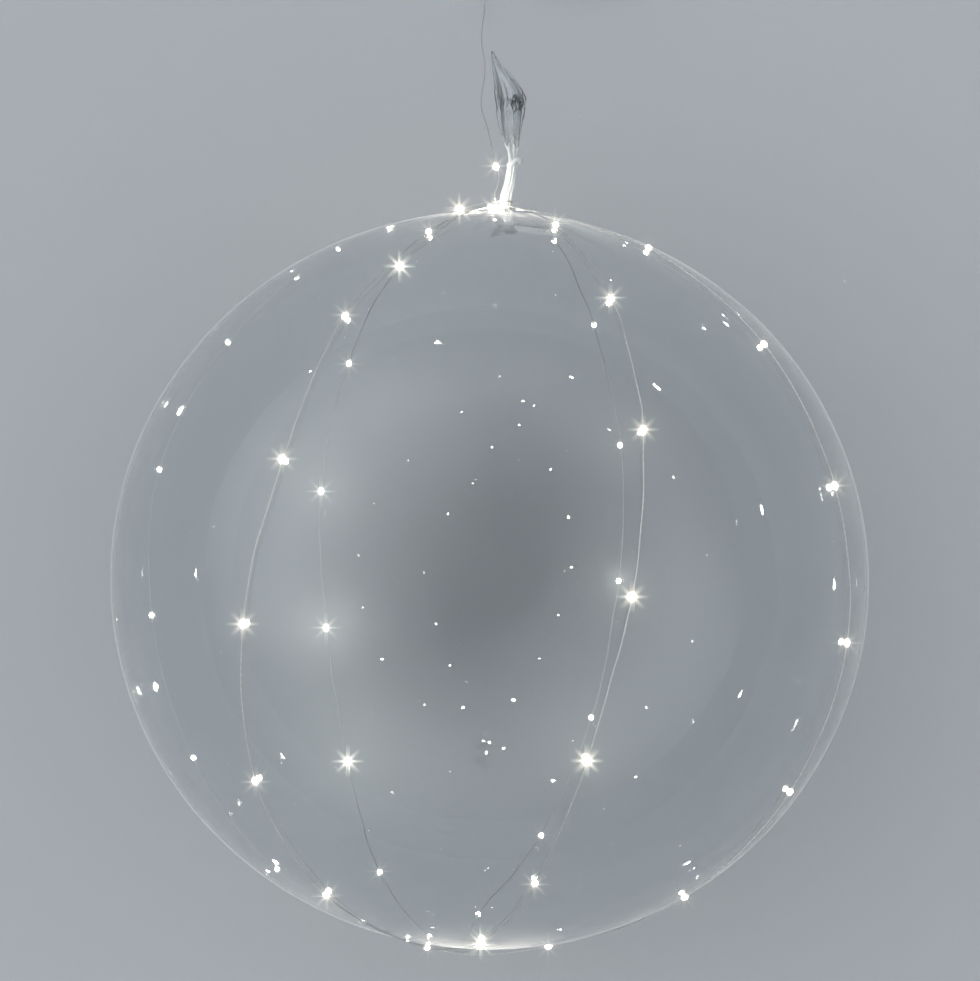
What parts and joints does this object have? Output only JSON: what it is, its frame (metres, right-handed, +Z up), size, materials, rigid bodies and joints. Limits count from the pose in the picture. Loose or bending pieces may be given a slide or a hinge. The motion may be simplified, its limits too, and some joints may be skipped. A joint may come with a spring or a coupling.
{
  "type": "clear bubble balloon",
  "caption": "Round clear film balloon with a knotted neck and tail, wrapped from pole to pole in a wire string of small lamps that leads to a battery box.",
  "frame": {"origin": "centre of the small flat spot that the balloon lies on", "axes": "+Z up, +Y from the bottom pole to the neck, +X to the right seen from above with the neck away"},
  "size_m": [0.482, 0.7278, 0.4787],
  "materials": {
    "clear_film": "clear glossy stretched film",
    "wire": "thin silvery lacquered wire",
    "lamp_resin": "clear resin drop, lit cool white",
    "box_plastic": "fine moulded grain",
    "knob_plastic": "moulded"
  },
  "bodies": {
    "root": {"film_balloon": "clear_film", "light_string": "wire", "lead_wire": "wire", "lead_lamp": "lamp_resin", "battery_housing": "box_plastic", "battery_cover": "box_plastic", "switch_knob": "knob_plastic"}
  },
  "joints": []
}
